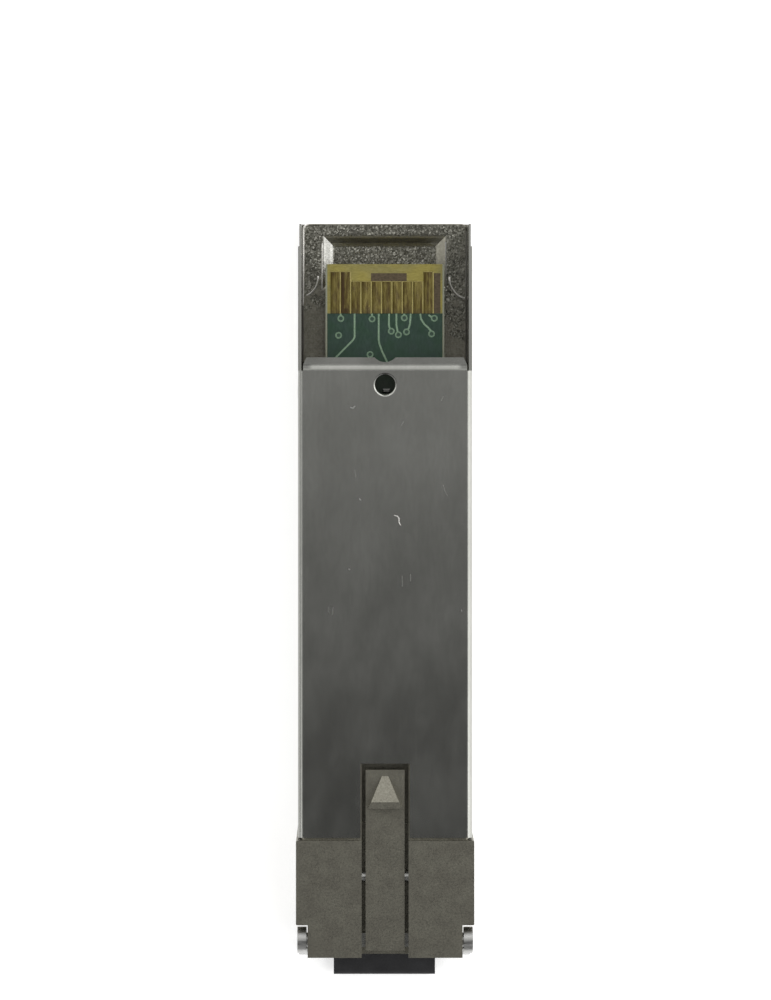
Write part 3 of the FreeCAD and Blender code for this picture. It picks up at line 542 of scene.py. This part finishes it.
def masked_copper(name, dark, light):
    copper = Finish(name, {"Specular IOR Level": 0.5, "Coat Weight": 0.2, "Coat Roughness": 0.25})
    fine = copper.noise(8.0, 3.0, 0.6)
    colour = copper.ramp(fine, (0.30, dark), (0.75, light))
    roughness = copper.spread(fine, 0.25, 0.75, 0.28, 0.45)
    return copper.done(colour, roughness, copper.relief(fine, 0.2, 0.004))


def dark_copper():
    copper = Finish("copper_under_laminate", {"Specular IOR Level": 0.4})
    fine = copper.noise((5.0, 9.0, 5.0), 3.0, 0.6)
    colour = copper.ramp(fine, (0.30, (0.052, 0.038, 0.020)), (0.75, (0.106, 0.078, 0.045)))
    roughness = copper.spread(fine, 0.25, 0.75, 0.35, 0.5)
    return copper.done(colour, roughness, copper.relief(fine, 0.2, 0.005))


def worn_gold():
    """Worn plating: each finger has painted shade on its left side and along the mask edge, and the second
    is tarnished.
    """
    gold = Finish("worn_gold_plating", {"Metallic": 1.0})
    streaks = gold.noise((5.0, 0.55, 5.0), 4.0, 0.65)
    spots = gold.noise((3.2, 1.0, 3.2), 4.0, 0.65, (3.7, 1.3, 0.0))
    x = gold.axis("X")
    y = gold.axis("Y")

    left = FIRST_LEFT + FINGER_PITCH
    stripe = gold.times(gold.spread(x, left - 0.02, left + 0.08), gold.fall(x, left + 0.22, left + 0.34))
    second = gold.times(gold.spread(x, left - 0.20, left - 0.08), gold.fall(x, left + 0.50, left + 0.66))
    foot = gold.times(second, gold.fall(y, MASK_LINE + 0.27, MASK_LINE + 0.57))
    tarnish = gold.times(gold.most(stripe, foot), 0.75)
    across = gold.maths("FRACT", gold.maths("DIVIDE", gold.less(x, FIRST_LEFT), FINGER_PITCH))
    # Painted shade: each finger darkens towards its left side, and all of them towards the mask edge
    left_side_shade = gold.spread(across, 0.03, 0.30, 0.60, 0.0)
    mask_edge_shade = gold.spread(y, MASK_LINE + 0.02, MASK_LINE + 0.52, 0.45, 0.0)

    plating = gold.ramp(streaks, (0.38, (0.140, 0.104, 0.044)),
                        (0.50, (0.270, 0.218, 0.080)), (0.64, (0.47, 0.390, 0.150)))
    worn = gold.ramp(spots, (0.36, (0.72, 0.68, 0.80)), (0.55, (1.10, 1.10, 0.98)))
    faces = gold.mix(left_side_shade, gold.tint(plating, worn), (0.085, 0.062, 0.010))
    fingers = gold.mix(mask_edge_shade, faces, (0.120, 0.095, 0.062))
    colour = gold.mix(tarnish, fingers, (0.085, 0.052, 0.034))
    roughness = gold.spread(streaks, 0.25, 0.75, 0.42, 0.24)
    return gold.done(colour, roughness, gold.relief(streaks, 0.3, 0.006))


# Painted highlight: a brighter gold for the strips along the fingers' right sides and inner ends
def edge_highlight_gold():
    edge = Finish("painted_edge_highlight", {"Metallic": 0.35})
    streaks = edge.noise((5.0, 1.2, 5.0), 3.0, 0.6)
    colour = edge.ramp(streaks, (0.30, (0.30, 0.25, 0.085)), (0.70, (0.46, 0.395, 0.150)))
    roughness = edge.spread(streaks, 0.25, 0.75, 0.30, 0.45)
    return edge.done(colour, roughness, edge.relief(streaks, 0.2, 0.004))


def moulded(name, dark, light, rough_low, rough_high):
    skin = Finish(name, {"Specular IOR Level": 0.5})
    fine = skin.noise(7.0, 4.0, 0.6)
    broad = skin.noise(0.7, 2.0, 0.5)
    colour = skin.ramp(broad, (0.30, dark), (0.72, light))
    roughness = skin.spread(fine, 0.25, 0.75, rough_low, rough_high)
    return skin.done(colour, roughness, skin.relief(fine, 0.2, 0.01))


def machined(name, dark, light, rough_low, rough_high):
    metal = Finish(name, {"Metallic": 1.0})
    turned = metal.noise((0.8, 9.0, 0.8), 3.0, 0.6)
    broad = metal.noise(0.6, 2.0, 0.5)
    colour = metal.ramp(broad, (0.30, dark), (0.72, light))
    roughness = metal.spread(turned, 0.25, 0.75, rough_low, rough_high)
    return metal.done(colour, roughness, metal.relief(turned, 0.15, 0.006))


def white_paper():
    glow = {"Emission Color": (1.0, 1.0, 1.0, 1.0), "Emission Strength": 0.50}
    paper = Finish("white_paper", {"Specular IOR Level": 0.2, **glow})
    fibre = paper.noise(0.8, 4.0, 0.6)
    colour = paper.ramp(fibre, (0.2, (0.91, 0.91, 0.91)), (0.8, (0.95, 0.95, 0.95)))
    return paper.done(colour, paper.spread(fibre, 0.2, 0.8, 0.75, 0.9))


ZINC = die_cast()
SHEET = sheet_steel()
BOARD = board_laminate()
MASK = solder_mask()
TRACE = masked_copper("copper_under_mask", (0.140, 0.220, 0.140), (0.235, 0.335, 0.230))
RING = masked_copper("ring_under_mask", (0.098, 0.166, 0.100), (0.165, 0.250, 0.165))
COPPER = dark_copper()
GOLD = worn_gold()
EDGE_HIGHLIGHT = edge_highlight_gold()
DULL_FLASH = moulded("dull_flash", (0.17, 0.165, 0.145), (0.26, 0.25, 0.225), 0.4, 0.6)
SOLDER = machined("dull_solder", (0.20, 0.20, 0.19), (0.30, 0.30, 0.29), 0.35, 0.5)
BRIGHT_FLASH = machined("bright_flash", (0.80, 0.78, 0.74), (0.92, 0.90, 0.87), 0.42, 0.58)
BARED = machined("bared_steel", (0.62, 0.62, 0.60), (0.80, 0.80, 0.78), 0.25, 0.4)
RUBBED = machined("rubbed_steel", (0.48, 0.48, 0.45), (0.56, 0.56, 0.53), 0.25, 0.4)
VIA_PLUG = moulded("plugged_via", (0.018, 0.044, 0.028), (0.034, 0.066, 0.044), 0.35, 0.5)
CHIP = moulded("chip_epoxy", (0.012, 0.012, 0.013), (0.022, 0.022, 0.024), 0.45, 0.65)
CERAMIC = moulded("tan_ceramic", (0.30, 0.20, 0.11), (0.40, 0.28, 0.16), 0.35, 0.5)
FERRULE = moulded("white_ceramic", (0.72, 0.72, 0.69), (0.82, 0.82, 0.80), 0.2, 0.35)
FILM = moulded("amber_film", (0.30, 0.11, 0.015), (0.42, 0.17, 0.03), 0.25, 0.4)
GRIP = moulded("grip_plastic", (0.012, 0.012, 0.014), (0.024, 0.024, 0.027), 0.42, 0.6)
NICKEL = machined("nickel_barrel", (0.50, 0.48, 0.44), (0.62, 0.60, 0.55), 0.22, 0.36)
STEEL = machined("spring_steel", (0.38, 0.38, 0.37), (0.50, 0.50, 0.49), 0.26, 0.42)

WORN_BY = (
    (ZINC, ("housing", "latch_rocker")),
    (SHEET, ("shell",)),
    (BOARD, ("circuit_board",)),
    (GOLD, ("belly_contacts", "roof_contacts", "transmitter_leads", "receiver_leads")),
    (CHIP, ("driver_chip", "amplifier_chip", "memory_chip", "resistors")),
    (CERAMIC, ("capacitors",)),
    (NICKEL, ("transmitter_can", "transmitter_barrel", "receiver_can", "receiver_barrel")),
    (FERRULE, ("transmitter_sleeve", "receiver_sleeve")),
    (FILM, ("transmitter_flex", "receiver_flex")),
    (STEEL, ("optics_clamp", "bail", "bail_shaft", "rocker_pin", "latch_spring")),
    (GRIP, ("bail_grip",)),
)


def dress_nodes():
    for material, names in WORN_BY:
        for name in names:
            slots = NODES[name].data.materials
            slots.clear()
            slots.append(material)


# Mesh forms

def loft(mesh, rings, slots=0, around=False):
    """Joins rings of points into a closed form, capped at both ends or running round on itself."""
    made = [[mesh.verts.new(Vector(point) * MM) for point in ring] for ring in rings]
    following = made[1:] + made[:1] if around else made[1:]
    if isinstance(slots, int):
        slots = [slots] * len(following)
    for slot, one, two in zip(slots, made, following):
        for a in range(len(one)):
            b = (a + 1) % len(one)
            mesh.faces.new((one[a], one[b], two[b], two[a])).material_index = slot
    if not around:
        mesh.faces.new(made[0]).material_index = slots[0]
        mesh.faces.new(made[-1]).material_index = slots[-1]
    return made


def new_object(name, mesh, materials):
    data = bpy.data.meshes.new(name)
    mesh.to_mesh(data)
    mesh.free()
    for material in materials:
        data.materials.append(material)
    made = bpy.data.objects.new(name, data)
    bpy.context.scene.collection.objects.link(made)
    return made


def new_piece(name, mesh, materials):
    bmesh.ops.recalc_face_normals(mesh, faces=mesh.faces)
    piece = new_object(name, mesh, materials)
    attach(piece, "module")
    return piece


def on_card(x, forward):
    return x, CARD_END - forward


def on_circle(centre, radius, angle):
    return centre[0] + radius * math.cos(angle), centre[1] + radius * math.sin(angle)


def circle(centre, radius, height, turns):
    return [(*on_circle(centre, radius, 2 * math.pi * turn / turns), height) for turn in range(turns)]


def arc(centre, radius, first, last, steps=24):
    angles = [math.radians(first + (last - first) * step / steps) for step in range(steps + 1)]
    return [on_circle(centre, radius, angle) for angle in angles]


def straight(start, end, steps=24):
    """Points from the start up to the end, which is left out."""
    return [tuple(Vector(start).lerp(Vector(end), step / steps)) for step in range(steps)]


def plate(mesh, x, y, z, bevel):
    """A thin flat sheet with a broken upper edge."""
    rings = []
    for inset, height in ((0.0, z[0]), (0.0, z[1] - bevel), (bevel, z[1])):
        left = x[0] + inset
        right = x[1] - inset
        front = y[0] + inset
        rear = y[1] - inset
        corners = ((left, front), (right, front), (right, rear), (left, rear))
        rings.append([(*corner, height) for corner in corners])
    loft(mesh, rings)


def ribbon(mesh, path, width, low, high, slope=0.35, slot=0):
    """A strip along a flat path: wide at its foot, a little narrower on top, mitred at its corners."""
    points = [Vector(point) for point in path]
    sharpest = 0.35
    rings = []
    for index, point in enumerate(points):
        before = point - points[index - 1] if index else points[1] - point
        after = points[index + 1] - point if index + 1 < len(points) else before
        along = (before.normalized() + after.normalized()).normalized()
        side = Vector((-along.y, along.x))
        square = Vector((-after.y, after.x)).normalized()
        foot = side * (width / 2 / max(sharpest, side.dot(square)))
        top = foot - side * (slope * (high - low))
        offsets = ((-foot, low), (foot, low), (top, high), (-top, high))
        rings.append([(*(point + offset), height) for offset, height in offsets])
    loft(mesh, rings, slot)


def bead(mesh, path, width, low, proud, slot=0):
    """A half-round bead along a flat path, fading out at both ends, its foot a little under the face."""
    points = [Vector(point) for point in path]
    last = len(points) - 1
    rings = []
    for index, point in enumerate(points):
        along = (points[min(index + 1, last)] - points[max(index - 1, 0)]).normalized()
        side = Vector((-along.y, along.x))
        from_end = BEAD_FADE * min(index, last - index) / last + BEAD_LEAST
        rise = BEAD_FOOT + proud * math.sin(math.pi / 2 * min(1.0, from_end))
        ring = []
        for step in range(BEAD_SIDES):
            turn = math.pi * step / (BEAD_SIDES - 1)
            spot = point + side * (width / 2 * math.cos(turn))
            ring.append((*spot, low - BEAD_FOOT + rise * math.sin(turn)))
        rings.append(ring)
    loft(mesh, rings, slot)


# Pieces on the board

def add_mask():
    mesh = bmesh.new()
    reach = CARD_HALF - ROUTED_MARGIN
    plate(mesh, (-reach, reach), (CARD_END - MASK_RUN, MASK_LINE), (CARD_FACE, MASK_FACE), MASK_BREAK)
    new_piece("solder_mask", mesh, [MASK])


def up_to_ring(trace):
    """The trace cut back so that it meets its ring at the outside."""
    if trace[-1] not in VIAS:
        return trace
    last = Vector(trace[-1])
    back = (Vector(trace[-2]) - last).normalized() * (RING_RADIUS - RING_OVERLAP)
    return (*trace[:-1], tuple(last + back))


def add_traces():
    mesh = bmesh.new()
    for trace in TRACES:
        path = [on_card(*point) for point in up_to_ring(trace)]
        ribbon(mesh, path, TRACE_WIDTH, CARD_FACE, MASK_FACE + TRACE_PROUD, TRACE_SLOPE)
    new_piece("board_traces", mesh, [TRACE])


def add_vias():
    mesh = bmesh.new()
    profile = [(RING_RADIUS, CARD_FACE)]
    profile += [(radius, MASK_FACE + rise) for radius, rise in RING_PROFILE]
    copper, plug = 0, 1
    slots = [copper] * (len(RING_PROFILE) - 1) + [plug]
    for via in VIAS:
        centre = on_card(*via)
        loft(mesh, [circle(centre, radius, height, RING_TURNS) for radius, height in profile], slots)
    new_piece("board_vias", mesh, [RING, VIA_PLUG])


def add_buried_copper():
    mesh = bmesh.new()
    for x, (near_end, far_end) in COPPER_AREAS:
        y = (CARD_END - far_end, CARD_END - near_end)
        plate(mesh, x, y, (CARD_FACE, CARD_FACE + COPPER_PROUD), COPPER_BREAK)
    new_piece("buried_copper", mesh, [COPPER])


# Raised strips of painted highlight along each finger's right side and inner end
def add_finger_highlights():
    mesh = bmesh.new()
    for index in range(FINGERS):
        left = FIRST_LEFT + index * FINGER_PITCH
        right = left + FINGER_WIDTH
        inset = LONG_INSET if index in LONG_FINGERS else SHORT_INSET
        side = right + SIDE_EDGE / 2
        side_path = (on_card(side, MASK_EDGE), on_card(side, inset - SIDE_EDGE_PAST))
        ribbon(mesh, side_path, SIDE_EDGE, CARD_FACE, CARD_FACE + SIDE_EDGE_PROUD)
        end_path = (on_card(left, inset - END_EDGE_PAST), on_card(right, inset - END_EDGE_PAST))
        ribbon(mesh, end_path, END_EDGE, CARD_FACE, CARD_FACE + END_EDGE_PROUD)
    new_piece("finger_highlights", mesh, [EDGE_HIGHLIGHT])


def add_soldered_end():
    mesh = bmesh.new()
    plate(mesh, SOLDERED_X, SOLDERED_Y, (CARD_FACE, CARD_FACE + SOLDERED_TALL), SOLDERED_BREAK)
    new_piece("soldered_end", mesh, [SOLDER])


# Pieces on the rear frame

def add_ejector_rims():
    mesh = bmesh.new()
    for centre, radius, angles, width, proud in EJECTOR_BEADS:
        bead(mesh, arc(centre, radius, *angles), width, FRAME_FACE, proud)
    new_piece("ejector_rims", mesh, [BRIGHT_FLASH])


def add_frame_edge():
    """Worn beads on the frame's left edge and the pocket's rims, dull flash in the slits beside it."""
    mesh = bmesh.new()
    bright, dull, plain = 0, 1, 2
    sunk = FRAME_FACE - WORN_SUNK
    foot = FRAME_FACE - FLASH_FOOT

    corner = arc((CORNER - WORN_SIDE, FRAME_REAR - CORNER), CORNER, 180.0, 90.0, CORNER_STEPS)
    left_edge = straight((-WORN_SIDE, WORN_FRONT), corner[0]) + corner
    bead(mesh, left_edge, WORN_WIDTH, sunk, WORN_PROUD, bright)

    left_slit = ((-FRAME_SIDE, FRAME_FRONT), (-FRAME_SIDE, WORN_FRONT))
    ribbon(mesh, left_slit, LEFT_FLASH_WIDTH, foot, FRAME_FACE + LEFT_FLASH_PROUD, FLASH_SLOPE, dull)
    right_slit = ((FRAME_SIDE, FRAME_FRONT), (FRAME_SIDE, RIGHT_FLASH_REAR))
    ribbon(mesh, right_slit, RIGHT_FLASH_WIDTH, foot, FRAME_FACE, FLASH_SLOPE, dull)

    for (x, width, proud), slot in ((LEFT_RIM, bright), (RIGHT_RIM, plain)):
        bead(mesh, straight((x, RIM_FRONT), (x, RIM_REAR)), width, sunk, proud, slot)
    new_piece("frame_edge", mesh, [BRIGHT_FLASH, DULL_FLASH, STEEL])


# Pieces on the belly plate

def add_hole_edge():
    """Rolled edge of the hole: a quarter round over the bevel of the solid, smooth between its borders."""
    mesh = bmesh.new()
    profile = []
    for step in range(ROLL_STEPS + 1):
        angle = math.pi / 2 * step / ROLL_STEPS
        outward = HOLE_ROLL * (1 - math.sin(angle))
        down = HOLE_ROLL * (1 - math.cos(angle))
        profile.append((HOLE_RADIUS + outward, PLATE_FACE - down))
    back_out, back_down = ROLL_BACK
    profile.append((HOLE_RADIUS + HOLE_ROLL * back_out, PLATE_FACE - HOLE_ROLL * back_down))
    rings = [circle(HOLE_CENTRE, radius, height, ROLL_TURNS) for radius, height in profile]
    made = loft(mesh, rings, around=True)
    for face in mesh.faces:
        face.smooth = True
    for ring in (made[0], made[ROLL_STEPS], made[-1]):
        for one, two in zip(ring, ring[1:] + ring[:1]):
            mesh.edges.get((one, two)).smooth = False
    new_piece("hole_edge", mesh, [SHEET])


def add_scratches():
    mesh = bmesh.new()
    glint, bared, rubbed = 0, 1, 2
    bead(mesh, BURR, BURR_WIDTH, PLATE_FACE, BURR_PROUD, glint)
    for marks, width, slot in ((FLECKS, FLECK_WIDTH, bared), (HAIRLINES, HAIRLINE_WIDTH, rubbed)):
        for mark in marks:
            ribbon(mesh, mark, width, PLATE_FACE - MARK_PROUD, PLATE_FACE + MARK_PROUD, slot=slot)
    new_piece("plate_scratches", mesh, [BRIGHT_FLASH, BARED, RUBBED])


# Leaf spring under the latch, built in one fixed shape; the real leaf flattens as the rocker dips

def leaf_rise(y, slope):
    """Height of the leaf over its foot: level, then a soft bend, then a straight slope."""
    past = y - SPRING_KNEE
    if past <= -SPRING_BEND:
        return 0.0
    if past >= SPRING_BEND:
        return slope * past
    return slope * (past + SPRING_BEND) ** 2 / (4 * SPRING_BEND)


def add_leaf_spring():
    mesh = bmesh.new()
    half = SPRING_HIGH[0] / MM
    foot = SPRING_LOW[1] / MM
    tip = SPRING_HIGH[1] / MM
    under = SPRING_LOW[2] / MM
    slope = (SPRING_HIGH[2] / MM - under - SPRING_THICK) / (tip - SPRING_KNEE)
    right = [(half - SPRING_BREAK, 0.0), (half, SPRING_BREAK),
             (half, SPRING_THICK - SPRING_BREAK), (half - SPRING_BREAK, SPRING_THICK)]
    section = right + [(-x, z) for x, z in reversed(right)]
    rings = []
    for step in range(SPRING_STEPS + 1):
        y = foot + (tip - foot) * step / SPRING_STEPS
        base = under + leaf_rise(y, slope)
        rings.append([(x, y, base + z) for x, z in section])
    loft(mesh, rings)
    spring = new_piece("leaf_spring", mesh, [STEEL])
    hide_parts("latch_spring")
    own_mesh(spring)


# Floor, light and camera

def lay_floor():
    mesh = bmesh.new()
    level = CAD_BOX[0].z / MM
    signs = ((-1, -1), (1, -1), (1, 1), (-1, 1))
    corners = [Vector((x * FLOOR_HALF, y * FLOOR_HALF, level)) * MM for x, y in signs]
    mesh.faces.new([mesh.verts.new(corner) for corner in corners])
    floor = new_object("floor", mesh, [white_paper()])


def add_softbox(name, side, end, power):
    light = bpy.data.lights.new(name, "AREA")
    light.shape = "RECTANGLE"
    light.size = LAMP_WIDTH * MM
    light.size_y = LAMP_DEPTH * MM
    light.energy = power
    place = Vector((side * LAMP_ASIDE, LIT_CENTRE.y + end * LAMP_ASIDE, LAMP_HEIGHT))
    lamp = bpy.data.objects.new(name, light)
    lamp.location = place * MM
    lamp.rotation_euler = (LIT_CENTRE - place).to_track_quat("-Z", "Y").to_euler()
    bpy.context.scene.collection.objects.link(lamp)


def build_room():
    """A pale room: the ceiling is lighter towards the rear end, the right wall lighter than the left."""
    world = bpy.data.worlds.new("studio")
    bpy.context.scene.world = world
    world.use_nodes = True
    room = Nodes(world.node_tree)
    towards = room.split(room.add("ShaderNodeTexCoord").outputs["Generated"])

    def along(axis, *stops):
        """Brightness by direction, from minus one to one along an axis."""
        share = room.add("ShaderNodeMapRange")
        share.inputs["From Min"].default_value = -1.0
        room.feed(towards[axis], share.inputs["Value"])
        shades = [(place / 2 + 0.5, (level, level, level * SKY_WARMTH)) for place, level in stops]
        return room.ramp(share.outputs["Result"], *shades, interpolation="EASE")

    depth = along("Y", (-1.0, 0.34), (-0.72, 0.10), (-0.18, 0.01), (0.06, 0.47), (0.34, 0.94),
                  (0.62, 0.94), (0.86, 0.32), (0.965, 0.28), (0.99, 0.95), (1.0, 0.95))
    sides = along("X", (-1.0, 0.60), (-0.62, 0.58), (-0.33, 0.28), (0.33, 0.30), (0.62, 1.50), (1.0, 1.75))
    corners = along("Y", (-1.0, 0.20), (1.0, 0.30))
    beside = along("Y", (-0.50, 0.0), (-0.25, 1.0), (0.25, 1.0), (0.50, 0.0))
    overhead = along("X", (-0.48, 0.0), (-0.24, 1.0), (0.24, 1.0), (0.48, 0.0))
    sky = room.mix(overhead, room.mix(beside, corners, sides), depth)
    room.feed(sky, room.tree.nodes["Background"].inputs["Color"])


def set_camera():
    """The camera stands over the rear end and looks straight down on the belly."""
    data = bpy.data.cameras.new("photo_camera")
    data.sensor_width = SENSOR
    data.lens = PIXELS_PER_MM * STAND_OFF * SENSOR / IMAGE_HEIGHT
    data.shift_x = (PICTURE_CENTRE[0] - EYE.x) * PIXELS_PER_MM / IMAGE_HEIGHT
    data.shift_y = (PICTURE_CENTRE[1] - EYE.y) * PIXELS_PER_MM / IMAGE_HEIGHT
    data.clip_start = CLIP_NEAR * MM
    data.clip_end = CLIP_FAR * MM
    camera = bpy.data.objects.new("photo_camera", data)
    camera.location = EYE * MM
    bpy.context.scene.collection.objects.link(camera)
    bpy.context.scene.camera = camera


dress_nodes()
for add_piece in (add_mask, add_traces, add_vias, add_buried_copper, add_finger_highlights, add_soldered_end,
                  add_ejector_rims, add_frame_edge, add_hole_edge, add_scratches, add_leaf_spring):
    add_piece()
lay_floor()
for softbox in SOFTBOXES:
    add_softbox(*softbox)
build_room()
bpy.context.scene.view_settings.view_transform = "Standard"
set_camera()
